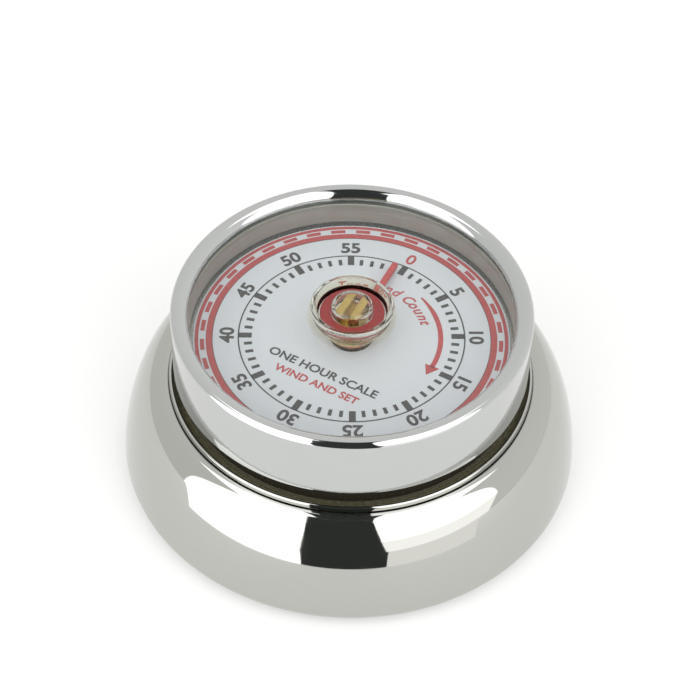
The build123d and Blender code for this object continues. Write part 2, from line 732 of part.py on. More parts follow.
def click_spot():
    """Centre of the click's stud, on a spoke of the main wheel."""
    return polar(CLICK_CIRCLE_R, CLICK_ANGLE)


def ratchet_wheel():
    """The twelve-tooth ratchet on the arbor, above the main wheel."""
    pitch = 360 / RATCHET_TEETH
    outline = []
    for tooth in range(RATCHET_TEETH):
        outline.append(polar(RATCHET_TIP_R, tooth * pitch))
        outline.append(polar(RATCHET_ROOT_R, tooth * pitch + 2))
    blank = Pos(0, 0, RATCHET_Z) * extrude(make_face(Polyline(*outline, close=True)), RATCHET_THICK)
    return blank - hole(MAIN_ARBOR_R + FIT, RATCHET_Z, RATCHET_Z + RATCHET_THICK)


def click():
    """The click that the ratchet drives the main wheel through."""
    top = RATCHET_Z + RATCHET_THICK
    arm = bar(click_spot(), polar(4.6, CLICK_ANGLE + 30), 0.9, RATCHET_Z, top)
    arm += disc(1.1, RATCHET_Z, top, click_spot())
    return arm - hole(CLICK_STUD_R + FIT, RATCHET_Z, top, click_spot())


def click_stud():
    """The stud that the click turns on, riveted to the main wheel."""
    top = RATCHET_Z + RATCHET_THICK
    return disc(CLICK_STUD_R, MAIN_WHEEL_Z, top, click_spot()) + disc(0.9, top, top + 0.2, click_spot())


def click_spring():
    """The bent wire that holds the click against the ratchet."""
    foot = polar(6.6, CLICK_ANGLE + 52)
    top = RATCHET_Z + 0.4
    wire = bar(polar(7.9, CLICK_ANGLE + 22), foot, 0.3, RATCHET_Z, top)
    return wire + disc(0.4, MAIN_WHEEL_Z + MAIN_WHEEL_THICK, top, foot)


# ---- train ----------------------------------------------------------------------------------
def second_arbor():
    """The second arbor."""
    return arbor(SECOND_AT, SECOND_ARBOR_R)


def second_pinion():
    """The pinion that the main wheel drives."""
    return pinion(MAIN_MODULE, SECOND_PINION_PHASE, 13.6, 15.4, SECOND_AT, SECOND_ARBOR_R)


def second_wheel():
    """The second wheel."""
    size = (SECOND_WHEEL_Z, SECOND_WHEEL_THICK)
    return wheel(SECOND_MODULE, SECOND_PHASE, *size, SECOND_AT, SECOND_ARBOR_R, 5)


def third_arbor():
    """The third arbor."""
    return arbor(THIRD_AT, THIRD_ARBOR_R)


def third_pinion():
    """The pinion that the second wheel drives."""
    return pinion(SECOND_MODULE, THIRD_PINION_PHASE, 15.6, 17.0, THIRD_AT, THIRD_ARBOR_R)


def third_wheel():
    """The third wheel."""
    size = (THIRD_WHEEL_Z, THIRD_WHEEL_THICK)
    return wheel(THIRD_MODULE, THIRD_PHASE, *size, THIRD_AT, THIRD_ARBOR_R, 4)


def escape_arbor():
    """The escape arbor."""
    return arbor(ESCAPE_AT, ESCAPE_ARBOR_R)


def escape_pinion():
    """The pinion that the third wheel drives."""
    return pinion(THIRD_MODULE, ESCAPE_PINION_PHASE, 17.3, 18.4, ESCAPE_AT, ESCAPE_ARBOR_R)


def escape_wheel():
    """The escape wheel: fifteen narrow pointed teeth, placed so that both pallet pins find a gap."""
    pitch = 360 / ESCAPE_TEETH
    tip_half = math.degrees(0.06 / ESCAPE_TIP_R)
    root_half = math.degrees(0.21 / ESCAPE_ROOT_R)
    phase = ANCHOR_BEARING + math.degrees(PALLET_HALF_SPAN) + pitch / 4
    outline = []
    for tooth in range(ESCAPE_TEETH):
        middle = phase + tooth * pitch
        outline.append(polar(ESCAPE_ROOT_R, middle - root_half))
        outline.append(polar(ESCAPE_TIP_R, middle - tip_half))
        outline.append(polar(ESCAPE_TIP_R, middle + tip_half))
        outline.append(polar(ESCAPE_ROOT_R, middle + root_half))
    blank = extrude(make_face(Polyline(*outline, close=True)), ESCAPE_WHEEL_THICK)
    blank = Pos(ESCAPE_AT[0], ESCAPE_AT[1], ESCAPE_WHEEL_Z) * blank
    top = ESCAPE_WHEEL_Z + ESCAPE_WHEEL_THICK
    return blank - hole(ESCAPE_ARBOR_R + FIT, ESCAPE_WHEEL_Z, top, ESCAPE_AT)


# ---- anchor and balance ---------------------------------------------------------------------
def pallet_spots():
    """The two pallet pins with the anchor at its middle."""
    span = math.degrees(PALLET_HALF_SPAN)
    return [polar(PALLET_CIRCLE_R, ANCHOR_BEARING + side * span, ESCAPE_AT) for side in (-1, 1)]


def anchor_arbor():
    """The anchor's arbor."""
    return arbor(ANCHOR_AT, ESCAPE_ARBOR_R)


def anchor():
    """The anchor, a two-armed lever above the escape wheel."""
    top = ANCHOR_Z + ANCHOR_THICK
    lever = disc(1.2, ANCHOR_Z, top, ANCHOR_AT)
    for spot in pallet_spots():
        lever += bar(ANCHOR_AT, spot, 0.8, ANCHOR_Z, top)
    for spot in pallet_spots():
        lever -= hole(PALLET_PIN_R + FIT, ANCHOR_Z, top, spot)
    return lever - hole(ESCAPE_ARBOR_R + FIT, ANCHOR_Z, top, ANCHOR_AT)


def pallet_pins():
    """Two hard steel pins that meet the escape wheel's teeth."""
    low = ESCAPE_WHEEL_Z - 0.1
    return group(disc(PALLET_PIN_R, low, ANCHOR_Z + ANCHOR_THICK, spot) for spot in pallet_spots())


def balance_ring():
    """The ring that slows the anchor's swing, on three spokes."""
    top = BALANCE_Z + BALANCE_THICK
    rim = ring(BALANCE_R, BALANCE_R - 1.0, BALANCE_Z, top, ANCHOR_AT) + disc(1.2, BALANCE_Z, top, ANCHOR_AT)
    for turn in (0, 120, 240):
        rim += bar(ANCHOR_AT, polar(BALANCE_R - 0.6, turn, ANCHOR_AT), 0.7, BALANCE_Z + 0.2, top - 0.2)
    return rim - hole(ESCAPE_ARBOR_R + FIT, BALANCE_Z, top, ANCHOR_AT)


# ---- hammer ---------------------------------------------------------------------------------
def hammer_stop_spot():
    """Centre of the stop that the hammer arm rests against, outside the arm."""
    along = bearing(HAMMER_AT, HAMMER_HEAD_AT)
    return polar(1.55, along + 90, polar(6.0, along, HAMMER_AT))


def hammer_stop():
    """The stop pin under the rear plate."""
    return disc(STOP_PIN_R, HAMMER_ARM_Z - 0.2, REAR_PLATE_Z + PLATE_THICK, hammer_stop_spot())


def hammer_arbor():
    """The hammer's arbor, which reaches below the rear plate."""
    shaft = disc(HAMMER_ARBOR_R, HAMMER_ARM_Z, FRONT_PLATE_Z - END_SHAKE, HAMMER_AT)
    return shaft + disc(PIVOT_R, FRONT_PLATE_Z - 1, FRONT_PLATE_Z + PLATE_THICK, HAMMER_AT)


def hammer_arm():
    """The flat arm between the rear plate and the bell."""
    arm = bar(HAMMER_AT, HAMMER_HEAD_AT, 1.8, HAMMER_ARM_Z, HAMMER_ARM_TOP_Z)
    return arm - hole(HAMMER_ARBOR_R + FIT, HAMMER_ARM_Z, HAMMER_ARM_TOP_Z, HAMMER_AT)


def hammer_head():
    """The brass head that strikes the inside of the bell's rim."""
    return disc(HAMMER_HEAD_R, HAMMER_ARM_Z - HAMMER_HEAD_LENGTH, HAMMER_ARM_Z, HAMMER_HEAD_AT)


def hammer_tail():
    """The tail that the strike pin pushes."""
    tip = polar(HAMMER_TAIL_REACH - 0.25, HAMMER_ANGLE + 180, HAMMER_AT)
    tail = bar(HAMMER_AT, tip, 0.5, HAMMER_TAIL_Z, HAMMER_TAIL_TOP_Z)
    tail += disc(1.1, HAMMER_TAIL_Z, HAMMER_TAIL_TOP_Z, HAMMER_AT)
    return tail - hole(HAMMER_ARBOR_R + FIT, HAMMER_TAIL_Z, HAMMER_TAIL_TOP_Z, HAMMER_AT)


def hammer_spring():
    """The coil spring round the hammer's arbor that drives the blow."""
    coil_r = 1.0
    wire_r = 0.18
    path = Helix(pitch=0.55, height=2.2, radius=coil_r)
    section = Plane(origin=path @ 0, z_dir=path % 0) * Circle(wire_r)
    return Pos(HAMMER_AT[0], HAMMER_AT[1], 15.4) * sweep(section, path=path, is_frenet=True)


PIECES = [
    body_shell, neck_drum, base_plate, base_screws, magnet, magnet_keeper, keeper_screws,
    bell_post, bell, bell_screw,
    rear_plate, front_plate, pillars, front_pillar_screws, rear_pillar_screws, front_bush, rear_bush,
    spring_post, mainspring, dial_plate, dial_face, hammer_stop,
    bezel, lens, hub_insert, lens_ring, pointer, main_arbor, arbor_clip, main_wheel, strike_pin,
    ratchet_wheel, click, click_stud, click_spring,
    second_arbor, second_pinion, second_wheel,
    third_arbor, third_pinion, third_wheel,
    escape_arbor, escape_pinion, escape_wheel,
    anchor_arbor, anchor, pallet_pins, balance_ring,
    hammer_arbor, hammer_arm, hammer_head, hammer_tail, hammer_spring,
]

os.makedirs("parts", exist_ok=True)
for piece in PIECES:
    export_step(piece(), f"parts/{piece.__name__}.step")
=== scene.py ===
"""Looks of the wind-up kitchen timer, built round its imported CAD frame.

Sizes are in millimetres in the object's own frame (+Z up out of the dial, the 0 mark towards +Y)
and are turned into metres when a mesh is made.  Angles are in degrees, counter-clockwise from +X.
"""

import json
import math

import bmesh
import bpy
from mathutils import Matrix, Quaternion, Vector


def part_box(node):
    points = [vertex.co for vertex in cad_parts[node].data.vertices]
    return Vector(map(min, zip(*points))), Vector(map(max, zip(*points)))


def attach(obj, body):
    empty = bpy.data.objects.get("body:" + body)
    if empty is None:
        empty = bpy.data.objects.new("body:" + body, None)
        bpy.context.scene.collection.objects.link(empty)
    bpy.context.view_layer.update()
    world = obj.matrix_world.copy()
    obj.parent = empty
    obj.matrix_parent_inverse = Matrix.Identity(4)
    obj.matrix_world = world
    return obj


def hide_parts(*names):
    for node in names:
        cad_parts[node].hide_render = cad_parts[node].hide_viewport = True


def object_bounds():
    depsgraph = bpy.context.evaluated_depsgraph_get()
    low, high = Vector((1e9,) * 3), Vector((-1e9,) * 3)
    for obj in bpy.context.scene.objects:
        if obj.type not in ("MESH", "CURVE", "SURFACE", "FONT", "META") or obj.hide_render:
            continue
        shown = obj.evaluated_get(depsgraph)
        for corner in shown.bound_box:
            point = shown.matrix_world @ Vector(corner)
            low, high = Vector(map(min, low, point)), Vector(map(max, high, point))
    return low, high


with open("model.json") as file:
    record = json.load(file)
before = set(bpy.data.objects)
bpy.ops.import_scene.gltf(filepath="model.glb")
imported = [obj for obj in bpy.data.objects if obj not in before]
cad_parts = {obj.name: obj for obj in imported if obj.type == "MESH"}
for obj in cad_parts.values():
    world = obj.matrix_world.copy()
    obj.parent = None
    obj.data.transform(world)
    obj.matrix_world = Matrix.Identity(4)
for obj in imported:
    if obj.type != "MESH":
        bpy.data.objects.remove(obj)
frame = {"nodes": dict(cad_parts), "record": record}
cad_box = [list(corner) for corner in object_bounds()]

MM = 0.001
TURN_STEPS = 240


def extent(node):
    """The reach of a round CAD node from the axis, and its lowest and highest point, in mm."""
    low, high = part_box(node)
    return high.x / MM, low.z / MM, high.z / MM


# ---- sizes taken from the frame -------------------------------------------------------------
BODY_R = extent("body_shell")[0]
BEZEL_R, BEZEL_BOTTOM, BEZEL_TOP = extent("bezel")
LENS_R, HUB_BASE, BOSS_TOP = extent("lens")
RING_R, RING_BOTTOM, LENS_BOTTOM = extent("lens_ring")
DIAL_R, DIAL_BOTTOM, DIAL_TOP = extent("dial_face")
DRUM_FLANGE_R, DRUM_BOTTOM, DRUM_TOP = extent("neck_drum")
POINTER_BOTTOM, POINTER_TOP = extent("pointer")[1:]
ARBOR_TOP = extent("main_arbor")[2]
MAGNET_R, MAGNET_TOP = extent("magnet")[::2]
BASE_R = extent("base_plate")[0]

# ---- sizes the boxes don't give -------------------------------------------------------------
SHEET = 0.7              # body sheet
NECK_R = 27.5
NECK_Z = 18.0
NECK_HOLE_R = 26.6
NECK_SKIRT_Z = 16.6
WIDEST_Z = 2.8
FOOT_R = 30.5
DOME_R_POWER = 2.25      # superellipse powers of the dome
DOME_Z_POWER = 1.5
BEZEL_WALL_R = 25.8
RIM_INNER_R = 24.2
RIM_ROUND = 0.8
RIM_ROLL_DEPTH = 1.4
LENS_TOP = BEZEL_TOP - RIM_ROLL_DEPTH
HUB_TOP_R = 6.25
HUB_BASE_R = 4.1
HUB_WALL = 0.75
HUB_RIM = 31.8
HUB_FLOOR = 29.9
BOSS_R = 3.1
ARBOR_R = 2.45
ARBOR_FLAT = 1.75
ARBOR_SLOT = 0.5         # half its width
POINTER_ANGLE = 94.5
POINTER_HUB_R = 3.3
POINTER_REACH = 16.0
POINTER_HALF = 0.5
DIAL_HOLE_R = 3.2
SCREW_CIRCLE_R = 21.8
SCREW_WELL_R = 2.0
SCREW_WELL = 1.1         # depth of the wells in the back
ARBOR_SHAFT_R = 2.0

# ---- the dial's printing --------------------------------------------------------------------
INK = 0.02               # its thickness
NUMBER_CIRCLE_R = 18.7
NUMBER_HEIGHT = 2.15
SCALE_INNER_R = 14.9
MINUTE_OUTER_R = 16.1
SCALE_OUTER_R = 16.9
BORDER_R = 20.82         # where the thin black line meets the red border
ARROW_R = 13.3
ARROW_HALF = 0.375       # half the width of its shaft

# ---- the photograph's view ------------------------------------------------------------------
CAMERA_AZIMUTH = 28.6
CAMERA_ELEVATION = 48.0
CAMERA_DISTANCE = 313.0
CAMERA_AIM_UP = 4.0      # the aim passes this far above the box's centre in the picture
CAMERA_AIM_RIGHT = -0.2
CAMERA_ROLL = 1.38
CAMERA_LENS = 105.6

# ---- the studio: distances in metres, light as strength of emission --------------------------
SOFTBOX_DISTANCE = 0.9
GAP_DISTANCE = 0.95      # the dark gap's cards lie behind the soft boxes
ROOF_GAP_DISTANCE = 0.93
CARD_HEIGHT = 0.0006     # of the cards on the floor
CARD_NEAR = 0.04
SOFTBOX_LIGHT = 2.5
SOFTBOX_EDGE_LIGHT = 1.9
TABLE_LIGHT = 1.4
GAP_LIGHT = 0.055


# ---- mesh helpers ---------------------------------------------------------------------------
def polar(radius, degrees, centre=(0.0, 0.0)):
    """The point at an angle from +X about a centre."""
    turn = math.radians(degrees)
    return Vector((centre[0] + radius * math.cos(turn), centre[1] + radius * math.sin(turn)))


def place(name, mesh_maker, paint, body, replaces=(), sharp=35):
    """A finished piece of the object: its mesh, material, body and the nodes it stands for."""
    bmesh.ops.recalc_face_normals(mesh_maker, faces=mesh_maker.faces)
    for face in mesh_maker.faces:
        face.smooth = True
    mesh = bpy.data.meshes.new(name)
    mesh_maker.to_mesh(mesh)
    mesh_maker.free()
    mesh.set_sharp_from_angle(angle=math.radians(sharp))
    mesh.materials.append(paint)
    piece = bpy.data.objects.new(name, mesh)
    bpy.context.scene.collection.objects.link(piece)
    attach(piece, body)
    if replaces:
        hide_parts(*replaces)
    return piece


def rounded(corners, steps=6):
    """A closed outline; each corner is (radius, height, size of its rounding).

    A rounding has one more point close beside each of its ends, so that its smooth shading stays
    off the flat stretches.
    """
    guard = 0.02
    outline = []
    for index, (radius, height, size) in enumerate(corners):
        here = Vector((radius, height))
        if size == 0:
            outline.append(here)
            continue
        before = (Vector(corners[index - 1][:2]) - here).normalized()
        after = (Vector(corners[(index + 1) % len(corners)][:2]) - here).normalized()
        half = before.angle(after) / 2
        centre = here + (before + after).normalized() * size / math.sin(half)
        start = here + before * size / math.tan(half) - centre
        end = here + after * size / math.tan(half) - centre
        reach = start.length
        outline.append(centre + start + before * guard)
        outline += [centre + start.slerp(end, step / steps) * reach for step in range(steps + 1)]
        outline.append(centre + end + after * guard)
    return outline


def arc(centre, radius_r, radius_z, start, end, steps):
    """Points of an upright ellipse between two angles."""
    points = []
    for step in range(steps + 1):
        turn = math.radians(start + (end - start) * step / steps)
        reach = Vector((radius_r * math.cos(turn), radius_z * math.sin(turn)))
        points.append(Vector(centre) + reach)
    return points


def lathe(outline, centre=(0.0, 0.0), steps=TURN_STEPS):
    """A closed outline of radius and height, turned about a vertical axis."""
    maker = bmesh.new()
    rings = []
    for step in range(steps):
        turn = 2 * math.pi * step / steps
        across = (math.cos(turn), math.sin(turn))
        rings.append([
            maker.verts.new(((centre[0] + r * across[0]) * MM, (centre[1] + r * across[1]) * MM, z * MM))
            for r, z in outline
        ])
    count = len(outline)
    for step in range(steps):
        here, there = rings[step], rings[(step + 1) % steps]
        for index in range(count):
            following = (index + 1) % count
            maker.faces.new((here[index], there[index], there[following], here[following]))
    bmesh.ops.remove_doubles(maker, verts=maker.verts, dist=1e-7)
    bmesh.ops.dissolve_degenerate(maker, edges=maker.edges, dist=1e-8)
    return maker


def prism(outline, bottom, top, chamfer=0.0, maker=None):
    """An upright prism on a closed outline of x and y, with its upper and lower edges chamfered."""
    maker = maker or bmesh.new()
    levels = [(bottom, chamfer), (bottom + chamfer, 0.0), (top - chamfer, 0.0), (top, chamfer)]
    if chamfer == 0:
        levels = [(bottom, 0.0), (top, 0.0)]
    loops = []
    for height, inset in levels:
        loop = []
        for index, point in enumerate(outline):
            along = outline[(index + 1) % len(outline)] - outline[index - 1]
            inward = Vector((-along.y, along.x)).normalized()
            spot = point + inward * inset
            loop.append(maker.verts.new((spot.x * MM, spot.y * MM, height * MM)))
        loops.append(loop)
    count = len(outline)
    for lower, upper in zip(loops, loops[1:]):
        for index in range(count):
            following = (index + 1) % count
            maker.faces.new((lower[index], lower[following], upper[following], upper[index]))
    maker.faces.new(loops[0][::-1])
    maker.faces.new(loops[-1])
    return maker


def cut(piece, maker):
    """Takes the cutter's solid out of a piece."""
    mesh = bpy.data.meshes.new("cutter")
    bmesh.ops.recalc_face_normals(maker, faces=maker.faces)
    maker.to_mesh(mesh)
    maker.free()
    cutter = bpy.data.objects.new("cutter", mesh)
    bpy.context.scene.collection.objects.link(cutter)
    boolean = piece.modifiers.new("cut", "BOOLEAN")
    boolean.operation = "DIFFERENCE"
    boolean.solver = "EXACT"
    boolean.object = cutter
    graph = bpy.context.evaluated_depsgraph_get()
    shaped = bpy.data.meshes.new_from_object(piece.evaluated_get(graph))
    piece.modifiers.clear()
    piece.data = shaped
    shaped.set_sharp_from_angle(angle=math.radians(35))
    bpy.data.objects.remove(cutter)
    bpy.data.meshes.remove(mesh)


# ---- materials ------------------------------------------------------------------------------
class Paint:
    """A node material with a Principled shader, built up one effect at a time."""

    def __init__(self, name, colour, metallic=0.0, roughness=0.4):
        self.material = bpy.data.materials.new(name)
        self.material.use_nodes = True
        self.tree = self.material.node_tree
        self.shader = self.tree.nodes["Principled BSDF"]
        self.shader.inputs["Base Color"].default_value = (*colour, 1.0)
        self.shader.inputs["Metallic"].default_value = metallic
        self.shader.inputs["Roughness"].default_value = roughness
        self.colour = colour
        self.places = self.tree.nodes.new("ShaderNodeTexCoord").outputs["Object"]

    def node(self, kind, **inputs):
        """A new node, with its sockets set or linked."""
        made = self.tree.nodes.new(kind)
        for key, value in inputs.items():
            socket = made.inputs[key.replace("_", " ")]
            if isinstance(value, bpy.types.NodeSocket):
                self.tree.links.new(value, socket)
            else:
                socket.default_value = value
        return made

    def link(self, output, socket):
        """Feeds one of the shader's sockets."""
        self.tree.links.new(output, self.shader.inputs[socket])

    def noise(self, grains_per_mm, detail=3.0):
        """A noise pattern in the object's own space."""
        scale = (1.0 / MM * grains_per_mm,) * 3
        mapping = self.node("ShaderNodeMapping", Vector=self.places, Scale=scale)
        noise = self.node("ShaderNodeTexNoise", Vector=mapping.outputs["Vector"], Scale=1.0, Detail=detail)
        return noise.outputs["Fac"]

    def place_parts(self):
        """The X, Y and Z of a place on the object, in metres, and its distance from the axis."""
        parts = self.node("ShaderNodeSeparateXYZ", Vector=self.places).outputs
        flat = self.node("ShaderNodeCombineXYZ", X=parts["X"], Y=parts["Y"]).outputs["Vector"]
        length = self.tree.nodes.new("ShaderNodeVectorMath")
        length.operation = "LENGTH"
        self.tree.links.new(flat, length.inputs[0])
        return parts["X"], parts["Y"], parts["Z"], length.outputs["Value"]

    def around(self, per_turn, per_mm):
        """A noise pattern that follows circles about Z: fine across them and long round them."""
        across, along, height, reach = self.place_parts()
        turn = self.tree.nodes.new("ShaderNodeMath")
        turn.operation = "ARCTAN2"
        self.tree.links.new(along, turn.inputs[0])
        self.tree.links.new(across, turn.inputs[1])
        circle = self.node("ShaderNodeCombineXYZ", X=reach, Y=turn.outputs["Value"], Z=height)
        scale = (per_mm / MM, per_turn, per_mm / MM)
        mapping = self.node("ShaderNodeMapping", Vector=circle.outputs["Vector"], Scale=scale)
        noise = self.node("ShaderNodeTexNoise", Vector=mapping.outputs["Vector"], Scale=1.0, Detail=2.0)
        return noise.outputs["Fac"]

    def ramp(self, value, start, end, low=0.0, high=1.0):
        """A value's range mapped onto two others."""
        made = self.node(
            "ShaderNodeMapRange", Value=value, From_Min=start, From_Max=end, To_Min=low, To_Max=high
        )
        return made.outputs["Result"]

    def blend(self, factor, first, second):
        """A colour that goes from one to another with a factor."""
        mix = self.tree.nodes.new("ShaderNodeMix")
        mix.data_type = "RGBA"
        self.tree.links.new(factor, mix.inputs["Factor"])
        mix.inputs["A"].default_value = (*first, 1.0)
        mix.inputs["B"].default_value = (*second, 1.0)
        self.link(mix.outputs["Result"], "Base Color")

    def spread(self, pattern, low, high):
        """A pattern's middle range mapped onto two values."""
        return self.ramp(pattern, 0.35, 0.65, low, high)

    def vary_roughness(self, pattern, low, high):
        """Roughness that follows a pattern."""
        self.link(self.spread(pattern, low, high), "Roughness")
        return self

    def vary_colour(self, pattern, second):
        """A colour that drifts between the first one and a second."""
        self.blend(self.spread(pattern, 0.0, 1.0), self.colour, second)
        return self

    def bump(self, pattern, depth_mm, strength=1.0):
        """Relief of a given depth."""
        made = self.node("ShaderNodeBump", Height=pattern, Distance=depth_mm * MM, Strength=strength)
        self.link(made.outputs["Normal"], "Normal")
        return self


def chrome(name, colour, haze):
    """Bright chromium plate: faint waves from the pressing and a breath of haze."""
    paint = Paint(name, colour, 1.0, haze)
    paint.vary_roughness(paint.noise(0.35, 4.0), haze, haze * 2.2)
    paint.bump(paint.noise(0.09, 1.0), 0.02, 0.6)
    return paint.material


def clear_plastic():
    """Clear acrylic, yellower in the hub; it lets light through to what lies under it."""
    paint = Paint("clear_acrylic", (0.985, 0.99, 0.97), 0.0, 0.0)
    paint.shader.inputs["Transmission Weight"].default_value = 1.0
    paint.shader.inputs["IOR"].default_value = 1.49
    paint.vary_roughness(paint.noise(0.5, 5.0), 0.0, 0.012)
    reach = paint.place_parts()[3]
    outside_hub = paint.ramp(reach, (HUB_TOP_R + 0.15) * MM, (HUB_TOP_R + 0.55) * MM)
    paint.blend(outside_hub, (0.93, 0.92, 0.80), paint.colour)
    rays = paint.tree.nodes.new("ShaderNodeLightPath")
    clear = paint.node("ShaderNodeBsdfTransparent", Color=(0.96, 0.97, 0.95, 1.0))
    mix = paint.tree.nodes.new("ShaderNodeMixShader")
    paint.tree.links.new(rays.outputs["Is Shadow Ray"], mix.inputs[0])
    paint.tree.links.new(paint.shader.outputs["BSDF"], mix.inputs[1])
    paint.tree.links.new(clear.outputs["BSDF"], mix.inputs[2])
    paint.tree.links.new(mix.outputs["Shader"], paint.tree.nodes["Material Output"].inputs["Surface"])
    return paint.material


def brushed(name, colour, roughness):
    """Metal turned or brushed round the axis."""
    paint = Paint(name, colour, 1.0, roughness)
    lines = paint.around(3.0, 14.0)
    paint.vary_roughness(lines, roughness * 0.8, roughness * 1.3)
    paint.vary_colour(lines, tuple(value * 0.9 for value in colour))
    paint.bump(lines, 0.004)
    return paint.material


def worked_metal(name, colour, roughness):
    """Stamped or machined metal with a fine even grain."""
    paint = Paint(name, colour, 1.0, roughness)
    paint.vary_roughness(paint.noise(4.0, 4.0), roughness * 0.75, roughness * 1.25)
    paint.vary_colour(paint.noise(0.6, 3.0), tuple(value * 0.85 for value in colour))
    paint.bump(paint.noise(12.0, 2.0), 0.003)
    return paint.material


def moulded(name, colour, second, roughness, grain_depth):
    """Moulded plastic or pressed ferrite: a fine grain and slightly uneven colour."""
    paint = Paint(name, colour, 0.0, roughness)
    paint.vary_roughness(paint.noise(1.2, 4.0), roughness * 0.8, roughness * 1.15)
    paint.vary_colour(paint.noise(0.4, 4.0), second)
    paint.bump(paint.noise(9.0, 3.0), grain_depth)
    return paint.material


def drum_paint():
    """Dark lacquer on the drum's wall, and an olive finish on its flange."""
    paint = Paint("drum_dark", (0.022, 0.019, 0.013), 0.0, 0.25)
    height = paint.place_parts()[2]
    flange = paint.ramp(height, (NECK_SKIRT_Z + 0.1) * MM, (NECK_SKIRT_Z + 0.7) * MM, 1.0, 0.0)
    paint.blend(flange, paint.colour, (0.16, 0.15, 0.085))
    paint.vary_roughness(paint.noise(1.2, 4.0), 0.2, 0.32)
    paint.bump(paint.noise(9.0, 3.0), 0.002)
    return paint.material


def printed(name, colour, second, roughness):
    """Screen-printed ink or enamel: nearly even, with a trace of texture."""
    paint = Paint(name, colour, 0.0, roughness)
    paint.vary_colour(paint.noise(2.5, 4.0), second)
    paint.vary_roughness(paint.noise(1.5, 3.0), roughness * 0.85, roughness * 1.15)
    paint.bump(paint.noise(7.0, 3.0), 0.002)
    return paint.material


CHROME_BODY = chrome("chrome_body", (0.47, 0.47, 0.445), 0.025)
CHROME_BEZEL = chrome("chrome_bezel", (0.53, 0.54, 0.535), 0.03)
ACRYLIC = clear_plastic()
RING_METAL = brushed("brushed_ring", (0.41, 0.43, 0.39), 0.48)
BRASS = worked_metal("brass", (0.58, 0.43, 0.15), 0.24)
STEEL = worked_metal("steel", (0.50, 0.50, 0.49), 0.3)
SCREW_STEEL = worked_metal("screw_steel", (0.58, 0.58, 0.57), 0.26)
BLUED_STEEL = worked_metal("blued_steel", (0.16, 0.18, 0.24), 0.28)
BELL_STEEL = brushed("bell_steel", (0.55, 0.55, 0.53), 0.2)
RED_ENAMEL = printed("red_enamel", (0.40, 0.022, 0.02), (0.36, 0.02, 0.02), 0.3)
INSERT_RED = printed("insert_red", (0.24, 0.028, 0.026), (0.2, 0.022, 0.022), 0.4)
DIAL_WHITE = printed("dial_white", (0.56, 0.585, 0.64), (0.545, 0.57, 0.63), 0.42)
INK_BLACK = printed("ink_black", (0.008, 0.009, 0.01), (0.014, 0.014, 0.016), 0.6)
INK_RED = printed("ink_red", (0.36, 0.02, 0.024), (0.40, 0.03, 0.034), 0.55)
DRUM_DARK = drum_paint()
BLACK_PLASTIC = moulded("black_plastic", (0.018, 0.018, 0.019), (0.024, 0.024, 0.025), 0.5, 0.01)
FERRITE = moulded("ferrite", (0.055, 0.052, 0.05), (0.085, 0.08, 0.078), 0.62, 0.02)


# ---- case -----------------------------------------------------------------------------------
def dome(inset):
    """The dome's outline from its widest line to the neck, on a face set in by a thickness."""
    steps = 40
    points = []
    for step in range(steps + 1):
        turn = math.pi / 2 * step / steps
        across = math.cos(turn) ** (2 / DOME_R_POWER) if step < steps else 0.0
        up = math.sin(turn) ** (2 / DOME_Z_POWER)
        radius = NECK_R + (BODY_R - inset - NECK_R) * across
        points.append(Vector((radius, WIDEST_Z + (NECK_Z - inset - WIDEST_Z) * up)))
    return points


def make_body():
    """The chrome body with its rolled bead round the neck."""
    bead_r = 0.3
    bead = NECK_R - bead_r
    outline = arc((FOOT_R, WIDEST_Z), BODY_R - FOOT_R, WIDEST_Z, 270, 360, 16)[:-1]
    outline += [point for point in dome(0) if point.x > NECK_R + 0.12]
    outline.append(Vector((NECK_R + 0.05, NECK_Z - 0.12)))
    outline += arc((bead, NECK_Z), bead_r, bead_r, 0, 180, 14)
    outline.append(Vector((NECK_HOLE_R, NECK_Z - 0.5)))
    outline.append(Vector((NECK_HOLE_R, NECK_SKIRT_Z)))
    outline.append(Vector((NECK_HOLE_R + SHEET, NECK_SKIRT_Z)))
    outline.append(Vector((NECK_HOLE_R + SHEET, NECK_Z - SHEET)))
    outline += dome(SHEET)[::-1][1:]
    outline += arc((FOOT_R, WIDEST_Z), BODY_R - SHEET - FOOT_R, WIDEST_Z - SHEET, 360, 270, 12)[1:]
    return place("body", lathe(outline), CHROME_BODY, "root", ["body_shell"], sharp=50)


def make_drum():
    """The dark drum seen in the gap under the bezel."""
    wall_r = 25.2
    inner_r = 24.4
    flange = 0.7
    corners = [
        (inner_r, DRUM_BOTTOM, 0.0),
        (DRUM_FLANGE_R, DRUM_BOTTOM, 0.1),
        (DRUM_FLANGE_R, DRUM_BOTTOM + flange, 0.1),
        (wall_r + 0.5, DRUM_BOTTOM + flange, 0.1),
        (wall_r + 0.4, DRUM_BOTTOM + flange + 0.35, 0.12),
        (wall_r, DRUM_BOTTOM + flange + 0.45, 0.1),
        (wall_r, DRUM_TOP, 0.15),
        (inner_r, DRUM_TOP, 0.0),
    ]
    return place("drum", lathe(rounded(corners)), DRUM_DARK, "root", ["neck_drum"])


